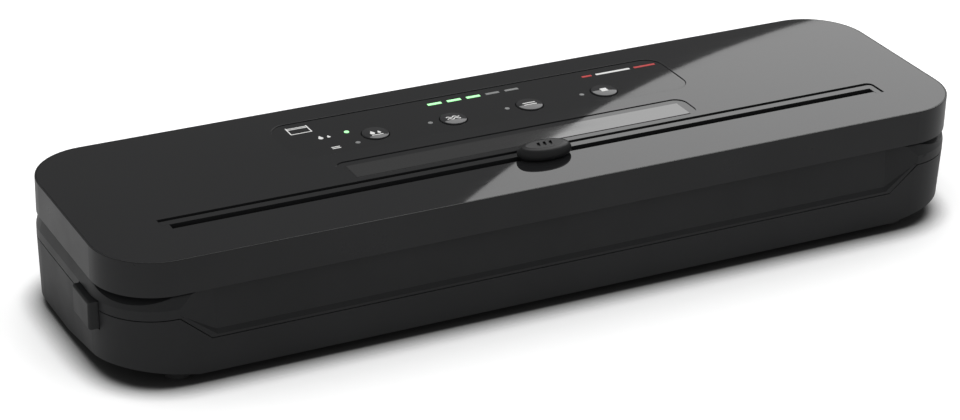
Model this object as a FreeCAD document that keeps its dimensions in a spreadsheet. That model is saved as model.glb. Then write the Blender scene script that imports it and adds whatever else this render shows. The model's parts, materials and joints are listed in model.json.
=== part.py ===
"""Slim countertop vacuum sealer with a rear-hinged lid. Lengths are in millimetres.

X runs along the length, Y from the front to the back, Z up from the floor the feet stand on.
Sub-parts are drawn about the middle of the lid; every one is then placed by shift_x and shift_y,
which puts the origin under the middle of the whole machine, release button and hinges included.
"""

import FreeCAD, Part
import math
import os
from types import SimpleNamespace

import Sketcher

DOC = FreeCAD.newDocument("VacuumSealer")
SHEET = DOC.addObject("Spreadsheet::Sheet", "Dims")

SIZES = {
    # overall outline
    "lid_length": 370.0,
    "lid_width": 105.0,
    "lid_radius": 25.0,
    "base_grow": 0.3,
    "shift_x": 1.4,
    "shift_y": -4.5,
    # heights above the floor
    "case_bottom": 4.2,
    "case_top": 29.0,
    "frame_bottom": 29.4,
    "frame_band_top": 33.2,
    "deck_bottom": 32.5,
    "deck_top": 36.0,
    "frame_top": 38.2,
    "lid_bottom": 38.9,
    "cover_bottom": 41.0,
    "cover_top": 43.0,
    "lid_deck_bottom": 48.6,
    "lid_deck_top": 50.6,
    "lid_top": 53.0,
    # walls
    "case_wall": 2.5,
    "case_draft": 2.0,
    "frame_wall": 2.8,
    "frame_taper": 13.5,
    "lid_wall": 2.4,
    "lip_thick": 2.0,
    "lip_bottom": 26.4,
    "rim_width": 6.4,
    # underside of the front corners, cut by a slanted plane
    "cut_front_x": 152.0,
    "cut_front_y": -52.0,
    "cut_side_x": 184.0,
    "cut_slope": 0.26,
    # relief of the frame's top at the front corners
    "relief_depth": 3.2,
    "relief_slope": 0.4,
    # finger recess in the front of the frame
    "recess_shift": 0.7,
    "recess_outer": 160.5,
    "recess_lower": 148.0,
    "recess_inner": 146.0,
    "recess_bottom": 18.7,
    "recess_floor": 21.4,
    "recess_low_depth": 1.5,
    "recess_top_depth": 3.4,
    "tongue_inner": 45.4,
    # rear hinge
    "hinge_back": 57.2,
    "hinge_height": 38.75,
    "hinge_radius": 4.3,
    "hinge_pin": 1.5,
    "hinge_bore": 1.56,
    "hinge_centre": 120.0,
    "lug_length": 8.0,
    "knuckle_length": 7.4,
    # gaskets, heater and vacuum tray
    "ring_out_x": 162.0,
    "ring_front": -31.0,
    "ring_back": 19.0,
    "ring_width": 7.0,
    "ring_radius": 12.0,
    "gasket_seat": 34.0,
    "lower_gasket_top": 38.2,
    "upper_gasket_bottom": 38.5,
    "heater_front": -43.0,
    "heater_back": -34.0,
    "heater_half": 154.0,
    "heater_top": 37.2,
    "strip_bottom": 37.9,
    "tray_half": 150.7,
    "tray_front": -19.7,
    "tray_back": 7.7,
    "tray_bottom": 22.0,
    "tray_wall": 1.5,
    # control panel and window in the lid's top plate
    "plate_inset": 0.6,
    "panel_left": -87.2,
    "panel_right": 88.6,
    "panel_front": 7.4,
    "panel_back": 39.6,
    "panel_radius": 7.5,
    "panel_floor": 52.0,
    "panel_top": 52.7,
    "key_radius": 5.5,
    "key_flange": 6.4,
    "key_top": 53.4,
    "key_y": 17.9,
    "key_first_x": -49.7,
    "key_pitch": 34.2,
    "dot_radius": 1.0,
    "bar_length": 6.0,
    "bar_width": 1.5,
    "light_top": 52.85,
    "window_left": -77.0,
    "window_right": 78.2,
    "window_front": -16.6,
    "window_back": -1.0,
    "window_radius": 5.0,
    "window_floor": 52.7,
    "pane_left": -72.9,
    "pane_right": 74.1,
    "pane_front": -15.7,
    "pane_back": -4.7,
    "pane_top": 52.9,
    # bag cutter
    "trough_left": -155.6,
    "trough_right": 157.9,
    "trough_front": -29.8,
    "trough_back": -19.1,
    "trough_floor": 48.4,
    "bar_left": -155.45,
    "bar_right": 156.7,
    "bar_front": -29.5,
    "bar_back": -21.15,
    "bar_bottom": 50.2,
    "slot_left": -152.5,
    "slot_right": 154.0,
    "slot_play": 0.05,
    "slot_front": -28.0,
    "slot_back": -24.3,
    "groove_floor": 46.8,
    "groove_front": -26.85,
    "groove_back": -25.75,
    "knob_x": 1.5,
    "knob_y": -27.0,
    "knob_half_x": 11.5,
    "knob_half_y": 6.6,
    "knob_bottom": 53.35,
    "knob_top": 58.0,
    # release button at the left end, and the latch bar behind it
    "release_out": -188.1,
    "release_in": -178.4,
    "release_front": -33.9,
    "release_back": -17.0,
    "release_bottom": 21.6,
    "release_top": 32.7,
    "release_gap": 0.5,
    "latch_front": -29.5,
    "latch_back": -22.5,
    "latch_bottom": 28.0,
    "latch_top": 31.0,
    # feet
    "foot_x": 157.0,
    "foot_y": 41.0,
    "foot_radius": 5.2,
    "foot_top": 5.7,
}

SCREW_SPOTS = ((173.0, 12.0), (-173.0, 12.0), (100.0, -38.0), (-100.0, -38.0), (-89.0, 40.0), (45.0, 42.0))
COVER_SPOTS = ((100.0, 40.0), (-100.0, 40.0), (170.0, -8.0), (-170.0, -8.0), (170.0, 30.0), (-170.0, 30.0))
DOT_SPOTS = ((-59.4, 23.9), (-59.4, 13.1), (-25.5, 18.3), (8.8, 18.3), (42.9, 18.3))
BAR_SPOTS = ((-15.9, 34.3), (-7.2, 34.3), (1.5, 34.3), (10.2, 34.3), (18.9, 34.3))
LIT_DOTS = 1
LIT_BARS = 3
KEY_NAMES = ("key_mode", "key_pulse", "key_seal", "key_vacuum")
LATCH_SLOTS = ((-175.5, -163.5), (165.5, 178.0))
UP = FreeCAD.Vector(0, 0, 1)


class Size:
    """A length that keeps its number together with the spreadsheet expression behind it."""

    def __init__(self, number, text=None):
        self.number = float(number)
        self.text = "%.6g" % number if text is None else text

    def joined(self, other, sign, number):
        return Size(number, "(%s %s %s)" % (self.text, sign, other.text))

    def __add__(self, other):
        other = size(other)
        return self.joined(other, "+", self.number + other.number)

    def __sub__(self, other):
        other = size(other)
        return self.joined(other, "-", self.number - other.number)

    def __mul__(self, other):
        other = size(other)
        return self.joined(other, "*", self.number * other.number)

    def __truediv__(self, other):
        other = size(other)
        return self.joined(other, "/", self.number / other.number)

    def __rsub__(self, other):
        return size(other) - self

    def __radd__(self, other):
        return size(other) + self

    def __rmul__(self, other):
        return size(other) * self

    def __neg__(self):
        return Size(-self.number, "(0 - %s)" % self.text)


def size(value):
    return value if isinstance(value, Size) else Size(value)


def read_sheet():
    """Write every driving size into the spreadsheet and return them by name."""
    for row, (alias, number) in enumerate(SIZES.items(), start=1):
        SHEET.set("A%d" % row, alias)
        SHEET.set("B%d" % row, str(number))
        SHEET.setAlias("B%d" % row, alias)
    DOC.recompute()
    return SimpleNamespace(**{alias: Size(SHEET.get(alias), "Dims." + alias) for alias in SIZES})


d = read_sheet()
HALF_X = d.lid_length / 2
HALF_Y = d.lid_width / 2
PARTS = {}


# ---------------------------------------------------------------- sketches and features

def place(item):
    """Move a finished sub-part from the lid's middle to the machine's."""
    item.setExpression("Placement.Base.x", d.shift_x.text)
    item.setExpression("Placement.Base.y", d.shift_y.text)
    return item


def new_body(label):
    body = DOC.addObject("PartDesign::Body", label)
    body.Label = label
    PARTS[label] = place(body)
    return body


def new_sketch(body, plane, offset):
    """A sketch on one of the body's origin planes, moved along that plane's world axis."""
    sketch = body.newObject("Sketcher::SketchObject", body.Label + "_sketch")
    support = [f for f in body.Origin.OriginFeatures if f.Role == plane + "_Plane"][0]
    sketch.AttachmentSupport = (support, [""])
    sketch.MapMode = "FlatFace"
    offset = -size(offset) if plane == "XZ" else size(offset)
    sketch.setExpression("AttachmentOffset.Base.z", offset.text)
    return sketch


def fix(sketch, kind, place, value):
    index = sketch.addConstraint(Sketcher.Constraint(kind, *place, value.number))
    sketch.setExpression("Constraints[%d]" % index, value.text)


def fix_point(sketch, geometry, position, x, y):
    """Tie a point to the sketch's origin by its two coordinates."""
    for kind, axis, value in (("DistanceX", -2, size(x)), ("DistanceY", -1, size(y))):
        if abs(value.number) < 1e-9:
            sketch.addConstraint(Sketcher.Constraint("PointOnObject", geometry, position, axis))
        else:
            fix(sketch, kind, (-1, 1, geometry, position), value)


def polygon(sketch, points):
    first = sketch.GeometryCount
    count = len(points)
    corners = [FreeCAD.Vector(size(x).number, size(y).number, 0) for x, y in points]
    for i, corner in enumerate(corners):
        sketch.addGeometry(Part.LineSegment(corner, corners[(i + 1) % count]), False)
    for i, (x, y) in enumerate(points):
        after = first + (i + 1) % count
        sketch.addConstraint(Sketcher.Constraint("Coincident", first + i, 2, after, 1))
        fix_point(sketch, first + i, 1, x, y)
    return sketch


def rectangle(sketch, x0, x1, y0, y1):
    return polygon(sketch, [(x0, y0), (x1, y0), (x1, y1), (x0, y1)])


def rounded(sketch, x0, x1, y0, y1, radii):
    """A rectangle with one radius per corner, anticlockwise from the front left one."""
    first = sketch.GeometryCount
    x0, x1, y0, y1 = size(x0), size(x1), size(y0), size(y1)
    radii = [size(r) for r in radii]
    centres = (
        (x0 + radii[0], y0 + radii[0]),
        (x1 - radii[1], y0 + radii[1]),
        (x1 - radii[2], y1 - radii[2]),
        (x0 + radii[3], y1 - radii[3]),
    )
    ends = []
    for i, ((x, y), radius) in enumerate(zip(centres, radii)):
        centre = FreeCAD.Vector(x.number, y.number, 0)
        start = math.pi * (1 + i / 2)
        circle = Part.Circle(centre, UP, radius.number)
        sketch.addGeometry(Part.ArcOfCircle(circle, start, start + math.pi / 2), False)
        spokes = []
        for angle in (start, start + math.pi / 2):
            spokes.append(FreeCAD.Vector(math.cos(angle), math.sin(angle), 0) * radius.number)
        ends.append((centre + spokes[0], centre + spokes[1]))
    for i in range(4):
        sketch.addGeometry(Part.LineSegment(ends[i][1], ends[(i + 1) % 4][0]), False)
    for i, ((x, y), radius) in enumerate(zip(centres, radii)):
        sketch.addConstraint(Sketcher.Constraint("Tangent", first + i, 2, first + 4 + i, 1))
        sketch.addConstraint(Sketcher.Constraint("Tangent", first + 4 + i, 2, first + (i + 1) % 4, 1))
        fix_point(sketch, first + i, 3, x, y)
        fix(sketch, "Radius", (first + i,), radius)
    return sketch


def circle(sketch, x, y, radius):
    x, y, radius = size(x), size(y), size(radius)
    centre = FreeCAD.Vector(x.number, y.number, 0)
    index = sketch.addGeometry(Part.Circle(centre, UP, radius.number), False)
    fix_point(sketch, index, 3, x, y)
    fix(sketch, "Radius", (index,), radius)
    return sketch


def lid_outline(sketch, inset=0.0, grow=0.0):
    """The lid's plan outline, moved inwards by inset; grow makes its two ends and corners larger."""
    inset = size(inset)
    radius = d.lid_radius + grow - inset
    reach = HALF_X + grow - inset
    return rounded(sketch, -reach, reach, inset - HALF_Y, HALF_Y - inset, [radius] * 4)


def outline(sketch, inset=0.0):
    """The plan outline of the case and the frame, a little longer than the lid's."""
    return lid_outline(sketch, inset, d.base_grow)


def extrude(kind, body, sketch, length, flip, taper=None):
    feature = body.newObject("PartDesign::" + kind, "%s_%s" % (body.Label, kind.lower()))
    feature.Profile = sketch
    feature.setExpression("Length", size(length).text)
    feature.Reversed = flip
    if taper is not None:
        feature.setExpression("TaperAngle", size(taper).text)
    sketch.Visibility = False
    DOC.recompute()
    return feature


def pad(body, sketch, length, flip=False, taper=None):
    """Add material along the sketch's normal, or against it when flipped."""
    return extrude("Pad", body, sketch, length, flip, taper)


def pocket(body, sketch, length, flip=False, taper=None):
    """Remove material against the sketch's normal, or along it when flipped."""
    before = body.Shape.Volume
    feature = extrude("Pocket", body, sketch, length, flip, taper)
    if not body.Shape.Volume < before - 1e-3:
        raise RuntimeError("%s: a pocket removed nothing" % body.Label)
    return feature


def edges_where(shape, wanted):
    return ["Edge%d" % (i + 1) for i, edge in enumerate(shape.Edges) if wanted(edge)]


def soften(body, wanted, radius, kind="Fillet"):
    """Round or bevel the edges of a body that a test picks out."""
    base = body.Tip
    names = edges_where(base.Shape, wanted)
    feature = body.newObject("PartDesign::" + kind, "%s_%s" % (body.Label, kind.lower()))
    feature.Base = (base, names)
    setattr(feature, "Radius" if kind == "Fillet" else "Size", radius)
    DOC.recompute()
    return feature


def flat_at(edge, z, tolerance=1e-4):
    box = edge.BoundBox
    return abs(box.ZMin - z) < tolerance and abs(box.ZMax - z) < tolerance


# ---------------------------------------------------------------- primitives

def box(x0, x1, y0, y1, z0, z1):
    shape = DOC.addObject("Part::Box", "block")
    low = [size(v) for v in (x0, y0, z0)]
    high = [size(v) for v in (x1, y1, z1)]
    for side, a, b in zip(("Length", "Width", "Height"), low, high):
        shape.setExpression(side, (b - a).text)
    for axis, a in zip("xyz", low):
        shape.setExpression("Placement.Base." + axis, a.text)
    return shape


def cylinder(x, y, z, radius, length, axis="z"):
    shape = DOC.addObject("Part::Cylinder", "round")
    shape.setExpression("Radius", size(radius).text)
    shape.setExpression("Height", size(length).text)
    turns = {"z": (UP, 0), "x": (FreeCAD.Vector(0, 1, 0), 90), "y": (FreeCAD.Vector(1, 0, 0), -90)}
    pivot, angle = turns[axis]
    shape.Placement = FreeCAD.Placement(FreeCAD.Vector(), FreeCAD.Rotation(pivot, angle))
    for name, value in zip("xyz", (x, y, z)):
        shape.setExpression("Placement.Base." + name, size(value).text)
    return shape


def cut(base, tool):
    shape = DOC.addObject("Part::Cut", "cut")
    shape.Base = base
    shape.Tool = tool
    return shape


def fuse(*shapes):
    shape = DOC.addObject("Part::MultiFuse", "fused")
    shape.Shapes = list(shapes)
    return shape


def round_edges(base, radius, wanted=lambda edge: True):
    DOC.recompute()
    shape = DOC.addObject("Part::Fillet", "softened")
    shape.Base = base
    shape.Edges = [(i + 1, radius, radius) for i, edge in enumerate(base.Shape.Edges) if wanted(edge)]
    return shape


def upright(edge):
    bounds = edge.BoundBox
    return bounds.ZLength > 1e-3 and bounds.XLength < 1e-6 and bounds.YLength < 1e-6


def stands_at(edge, x, y):
    bounds = edge.BoundBox
    return abs(bounds.XMin - size(x).number) < 1e-3 and abs(bounds.YMin - size(y).number) < 1e-3


def within(edge, left, right, front, back):
    """Whether an edge lies inside a block of the plan, counting the block's border."""
    bounds = edge.BoundBox
    across = bounds.XMin > left.number - 1e-3 and bounds.XMax < right.number + 1e-3
    return across and bounds.YMin > front.number - 1e-3 and bounds.YMax < back.number + 1e-3


def node(label, *shapes):
    """Gather the shapes of one sub-part and place it."""
    group = DOC.addObject("Part::Compound", label)
    group.Label = label
    group.Links = list(shapes)
    PARTS[label] = place(group)
    return group


# ---------------------------------------------------------------- case and frame

def side_pocket(body, start, out, along, points, length):
    """Cut away a profile drawn in the upright plane through out, swept from start along a level line."""
    sketch = new_sketch(body, "XY", 0)
    sketch.setExpression("AttachmentOffset.Base.z", None)
    normal = out.cross(UP)
    sketch.AttachmentOffset = FreeCAD.Placement(start, FreeCAD.Rotation(out, UP, normal, "XYZ"))
    polygon(sketch, points)
    pocket(body, sketch, length, flip=normal.dot(along) > 0)


def slanted_cut(body, side, lift=0.0):
    """Cut the underside of one front corner by a plane that rises outwards from a slanting line."""
    run = FreeCAD.Vector(side * (d.cut_side_x - d.cut_front_x).number, -d.cut_front_y.number, 0).normalize()
    out = FreeCAD.Vector(side * run.y, -abs(run.x), 0)
    start = FreeCAD.Vector(side * d.cut_front_x.number, d.cut_front_y.number, d.case_bottom.number) - run * 12
    reach = 45.0
    back = -5.0
    profile = [
        (back, d.cut_slope * back + lift),
        (reach, d.cut_slope * reach + lift),
        (reach, -3),
        (back, -3),
    ]
    side_pocket(body, start, out, run, profile, 110)


def corner_relief(body, side):
    """Slope the frame's top down towards a front corner, which leaves a wedge of room under the lid."""
    radius = d.lid_radius + d.base_grow
    out = FreeCAD.Vector(side, -1, 0).normalize()
    run = FreeCAD.Vector(side, 1, 0).normalize()
    centre = FreeCAD.Vector(side * (HALF_X - d.lid_radius).number, (d.lid_radius - HALF_Y).number, 0)
    low = d.frame_top - d.relief_depth
    near = 12.0
    far = 32.0
    ceiling = d.frame_top + 5
    profile = [
        (near, low + d.relief_slope * (radius - near)),
        (far, low + d.relief_slope * (radius - far)),
        (far, ceiling),
        (near, ceiling),
    ]
    side_pocket(body, centre - run * 30, out, run, profile, 60)


def front_profile(body, y, shift, steps, flare):
    """A shallow dish seen from the front: half widths and heights, bottom up, mirrored about shift."""
    side = [(half, z) for half, z in steps] + [(steps[-1][0] + flare, steps[-1][1] + 1)]
    left = [(shift - half, z) for half, z in reversed(side)]
    right = [(shift + half, z) for half, z in side]
    return polygon(new_sketch(body, "XZ", y), left + right)


def release_window(body):
    """The opening in the left end wall for the release button."""
    gap = d.release_gap
    window = rectangle(
        new_sketch(body, "YZ", -176.0),
        d.release_front - gap,
        d.release_back + gap,
        d.release_bottom - gap,
        d.release_top + gap,
    )
    pocket(body, window, 14.0)


def lower_case():
    body = new_body("lower_case")
    depth = d.case_top - d.case_bottom
    pad(body, outline(new_sketch(body, "XY", d.case_top)), depth, flip=True, taper=-d.case_draft)
    slanted_cut(body, 1)
    slanted_cut(body, -1)
    hollow = DOC.addObject("PartDesign::Body", "case_hollow")
    inside = outline(new_sketch(hollow, "XY", d.case_top), d.case_wall)
    pad(hollow, inside, depth - d.case_wall, flip=True, taper=-d.case_draft)
    slanted_cut(hollow, 1, d.case_wall)
    slanted_cut(hollow, -1, d.case_wall)
    shell = body.newObject("PartDesign::Boolean", "lower_case_shell")
    shell.Type = "Cut"
    shell.setObjects([hollow])
    DOC.recompute()
    # bosses for the case screws, seats for the feet and posts for the main board
    floor = d.case_bottom + 1.5
    bosses = new_sketch(body, "XY", floor)
    for x, y in SCREW_SPOTS:
        circle(bosses, x, y, 4.0)
    pad(body, bosses, 18.0)
    seats = new_sketch(body, "XY", floor + 0.4)
    for x in (-d.foot_x, d.foot_x):
        for y in (-d.foot_y, d.foot_y):
            circle(seats, x, y, 6.8)
    pad(body, seats, 2.4)
    posts = new_sketch(body, "XY", floor)
    for x in (-81.0, -9.0):
        for y in (17.0, 43.0):
            circle(posts, x, y, 2.4)
    pad(body, posts, 10.0 - floor)
    # screw holes with head recesses, and foot recesses
    heads = new_sketch(body, "XY", d.case_bottom - 1)
    holes = new_sketch(body, "XY", d.case_bottom - 1)
    for x, y in SCREW_SPOTS:
        circle(heads, x, y, 3.0)
        circle(holes, x, y, 1.7)
    pocket(body, heads, 4.0, flip=True)
    pocket(body, holes, 30.0, flip=True)
    feet = new_sketch(body, "XY", d.case_bottom - 1)
    for x in (-d.foot_x, d.foot_x):
        for y in (-d.foot_y, d.foot_y):
            circle(feet, x, y, d.foot_radius)
    pocket(body, feet, d.foot_top - d.case_bottom + 1, flip=True)
    # the dip in the front wall that the frame's tongue fills
    gap = 0.2
    low = d.recess_bottom - 2 * gap
    steps = ((d.recess_lower, low), (d.recess_outer, d.case_top))
    dip = front_profile(body, -60.0, d.recess_shift, steps, 0.6)
    pocket(body, dip, 60.0 - d.tongue_inner - 0.5)
    release_window(body)
    # opening for the power inlet in the back wall, and cooling slots in the floor
    inlet = rectangle(new_sketch(body, "XZ", 44.0), 130.0, 150.0, 9.0, 22.0)
    pocket(body, inlet, 10.0)
    slots = new_sketch(body, "XY", d.case_bottom - 1)
    for i in range(9):
        x = 68.0 + 6.0 * i
        rectangle(slots, x, x + 2.4, 16.0, 44.0)
    for i in range(7):
        x = -126.0 + 6.0 * i
        rectangle(slots, x, x + 2.4, -22.0, 4.0)
    pocket(body, slots, 4.0, flip=True)
    return body


def recess_section(body, x, low_depth, top_depth, bottom, floor):
    """A cross-section of the finger recess, whose back face leans inwards towards the top."""
    front = -HALF_Y - 0.3
    return polygon(
        new_sketch(body, "YZ", x),
        [(front, bottom), (low_depth - HALF_Y, floor), (top_depth - HALF_Y, 40.0), (front, 40.0)],
    )


def finger_recess(body):
    """A long shallow hollow in the front wall that runs out to nothing at both slanted ends."""
    left = d.recess_shift - d.recess_inner
    right = d.recess_shift + d.recess_inner
    lip = d.recess_bottom + 0.3
    middle = recess_section(body, left, d.recess_low_depth, d.recess_top_depth, lip, d.recess_floor)
    pocket(body, middle, right - left, flip=True)
    reach = d.recess_outer - 0.2
    for inner, outer in ((left, d.recess_shift - reach), (right, d.recess_shift + reach)):
        before = body.Shape.Volume
        near = recess_section(body, inner, d.recess_low_depth, d.recess_top_depth, lip, d.recess_floor)
        far = recess_section(body, outer, 0.05, 0.1, 30.1, 30.3)
        loft = body.newObject("PartDesign::SubtractiveLoft", "recess_end")
        loft.Profile = near
        loft.Sections = [far]
        loft.Ruled = True
        DOC.recompute()
        if not body.Shape.Volume < before - 10:
            raise RuntimeError("one end of the finger recess removed nothing")


def upper_frame():
    body = new_body("upper_frame")
    band = d.frame_band_top - d.frame_bottom
    pad(body, outline(new_sketch(body, "XY", d.frame_bottom)), band)
    rise = d.frame_top - d.frame_band_top
    pad(body, outline(new_sketch(body, "XY", d.frame_band_top)), rise, taper=-d.frame_taper)
    top = d.frame_top.number
    soften(body, lambda e: flat_at(e, top), 1.0)
    for side in (-1, 1):
        corner_relief(body, side)
    hollow = outline(new_sketch(body, "XY", d.frame_bottom), d.frame_wall)
    pocket(body, hollow, d.deck_bottom - d.frame_bottom, flip=True)
    # the lip that drops inside the case wall
    lip = new_sketch(body, "XY", d.lip_bottom)
    outline(lip, d.frame_wall + 0.1)
    outline(lip, d.frame_wall + 0.1 + d.lip_thick)
    pad(body, lip, d.deck_bottom - d.lip_bottom + 0.2)
    # the tongue that fills the dip in the case, and its own lip behind the case wall
    slope = (d.recess_outer - d.recess_lower) / (d.frame_bottom - d.recess_bottom)
    steps = ((d.recess_lower, d.recess_bottom), (d.recess_outer + slope * 2.4, d.frame_bottom + 2.4))
    tongue = front_profile(body, -d.tongue_inner, d.recess_shift, steps, slope)
    pad(body, tongue, 52.25 - d.tongue_inner)
    steps = ((150.0, 16.0), (162.0, d.frame_bottom - 0.6))
    pad(body, front_profile(body, -46.4, d.recess_shift, steps, 0.5), 2.7)
    finger_recess(body)
    # the sunken deck with its gasket groove, heater seat and tray opening
    rim = d.rim_width
    deck = rounded(
        new_sketch(body, "XY", d.frame_top + 1),
        rim - HALF_X,
        HALF_X - rim,
        -d.tongue_inner + 0.2,
        HALF_Y - rim,
        [18.0] * 4,
    )
    pocket(body, deck, d.frame_top + 1 - d.deck_top)
    groove = new_sketch(body, "XY", d.deck_top)
    ring(groove, 0.0)
    pocket(body, groove, d.deck_top - d.gasket_seat)
    seat = rectangle(new_sketch(body, "XY", d.deck_top), -158.0, 158.0, d.heater_front, d.heater_back)
    pocket(body, seat, 1.5)
    well = rectangle(
        new_sketch(body, "XY", d.deck_top), -d.tray_half, d.tray_half, d.tray_front, d.tray_back
    )
    pocket(body, well, 8.0)
    for near, far in LATCH_SLOTS:
        slot = rectangle(new_sketch(body, "XY", d.deck_top), near, far, -31.0, -21.0)
        pocket(body, slot, 4.0)
    release_window(body)
    # guides under the deck that carry the latch bar
    cheeks = new_sketch(body, "XY", d.latch_bottom - 1.8)
    floors = new_sketch(body, "XY", d.latch_bottom - 1.8)
    for x in (-120.0, 120.0):
        rectangle(cheeks, x - 4, x + 4, d.latch_front - 1.8, d.latch_front - 0.3)
        rectangle(cheeks, x - 4, x + 4, d.latch_back + 0.3, d.latch_back + 1.8)
        rectangle(floors, x - 4, x + 4, d.latch_front - 1.8, d.latch_back + 1.8)
    pad(body, cheeks, d.deck_bottom - d.latch_bottom + 1.9)
    pad(body, floors, 1.5)
    # hinge lugs
    for side in (-1, 1):
        for inner_face in (
            d.hinge_centre - d.knuckle_length / 2 - 0.3 - d.lug_length,
            d.hinge_centre + d.knuckle_length / 2 + 0.3,
        ):
            start = inner_face if side > 0 else -inner_face - d.lug_length
            barrel = circle(new_sketch(body, "YZ", start), d.hinge_back, d.hinge_height, d.hinge_radius)
            pad(body, barrel, d.lug_length)
            web = rectangle(
                new_sketch(body, "YZ", start), 50.0, d.hinge_back, d.hinge_height - d.hinge_radius, 38.1
            )
            pad(body, web, d.lug_length)
    bore = circle(new_sketch(body, "YZ", -140.0), d.hinge_back, d.hinge_height, d.hinge_pin)
    pocket(body, bore, 280.0, flip=True)
    # screw bosses under the deck
    bosses = new_sketch(body, "XY", 23.8)
    holes = new_sketch(body, "XY", 23.8)
    for x, y in SCREW_SPOTS:
        circle(bosses, x, y, 3.6)
        circle(holes, x, y, 1.25)
    pad(body, bosses, d.deck_bottom - 23.8 + 0.1)
    pocket(body, holes, 7.0, flip=True)
    return body


def ring(sketch, play):
    """The two outlines of the gasket path, narrowed by a little play on each side."""
    play = size(play)
    outer = (play, d.ring_radius - play)
    inner = (d.ring_width - play, d.ring_radius - d.ring_width + play)
    for inset, radius in (outer, inner):
        rounded(
            sketch,
            inset - d.ring_out_x,
            d.ring_out_x - inset,
            d.ring_front + inset,
            d.ring_back - inset,
            [radius] * 4,
        )
    return sketch


def gaskets():
    lower = new_body("lower_gasket")
    pad(lower, ring(new_sketch(lower, "XY", d.gasket_seat), 0.1), d.lower_gasket_top - d.gasket_seat)
    soften(lower, lambda e: flat_at(e, d.lower_gasket_top.number), 1.2)
    upper = new_body("upper_gasket")
    loops = ring(new_sketch(upper, "XY", d.upper_gasket_bottom), 0.4)
    pad(upper, loops, d.cover_bottom - d.upper_gasket_bottom)
    soften(upper, lambda e: flat_at(e, d.upper_gasket_bottom.number), 1.0)


def drip_tray():
    body = new_body("drip_tray")
    flange = rounded(new_sketch(body, "XY", d.deck_top), -152.8, 152.8, -22.0, 10.0, [4.0] * 4)
    pad(body, flange, 0.8)
    well = rectangle(
        new_sketch(body, "XY", d.tray_bottom),
        0.1 - d.tray_half,
        d.tray_half - 0.1,
        d.tray_front + 0.1,
        d.tray_back - 0.1,
    )
    pad(body, well, d.deck_top - d.tray_bottom + 0.4)
    wall = d.tray_wall
    hollow = rounded(
        new_sketch(body, "XY", d.deck_top + 0.8),
        wall - d.tray_half,
        d.tray_half - wall,
        d.tray_front + wall,
        d.tray_back - wall,
        [3.0] * 4,
    )
    pocket(body, hollow, d.deck_top + 0.8 - d.tray_bottom - wall)
    for x in (14.0, 40.0):
        port = circle(new_sketch(body, "XZ", 13.0), x, 28.0, 1.45)
        pad(body, port, 13.0 - d.tray_back + 0.3)
        bore = circle(new_sketch(body, "XZ", 5.0), x, 28.0, 0.8)
        pocket(body, bore, 9.0)


def heater():
    base = box(-153.0, 153.0, d.heater_front + 0.2, d.heater_back - 0.2, d.deck_top - 1.5, d.heater_top)
    node("heater_bar", round_edges(base, 0.4, upright))
    wire = box(-152.5, 152.5, -39.75, -37.25, d.heater_top, d.heater_top + 0.15)
    node("heating_wire", wire)
    tape = box(-149.0, 149.0, -42.4, -34.6, d.heater_top + 0.15, d.heater_top + 0.35)
    node("ptfe_tape", tape)
    clamps = []
    for side in (-1, 1):
        x0, x1 = sorted((side * 153.2, side * 157.6))
        clamps.append(round_edges(box(x0, x1, -41.5, -35.5, d.deck_top - 1.5, 37.3), 0.5, upright))
    node("wire_clamps", *clamps)


# ---------------------------------------------------------------- what is inside the base

def vacuum_pump():
    head = round_edges(box(60.0, 84.0, 17.0, 43.0, 8.2, 31.2), 2.0, upright)
    plate = round_edges(box(57.0, 60.0, 19.0, 41.0, 10.0, 30.0), 1.2, lambda e: e.BoundBox.XLength > 1)
    nipple = cylinder(50.0, 22.0, 28.0, 1.45, 7.2, "x")
    node("vacuum_pump", fuse(head, plate, nipple))
    can = cylinder(84.0, 30.0, 19.6, 11.4, 34.0, "x")
    boss = cylinder(118.0, 30.0, 19.6, 3.5, 2.0, "x")
    node("pump_motor", fuse(round_edges(can, 1.0), boss))
    pads = [box(62.0, 82.0, y, y + 6.0, 6.9, 8.2) for y in (18.5, 35.5)]
    node("pump_mounts", *pads)


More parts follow.
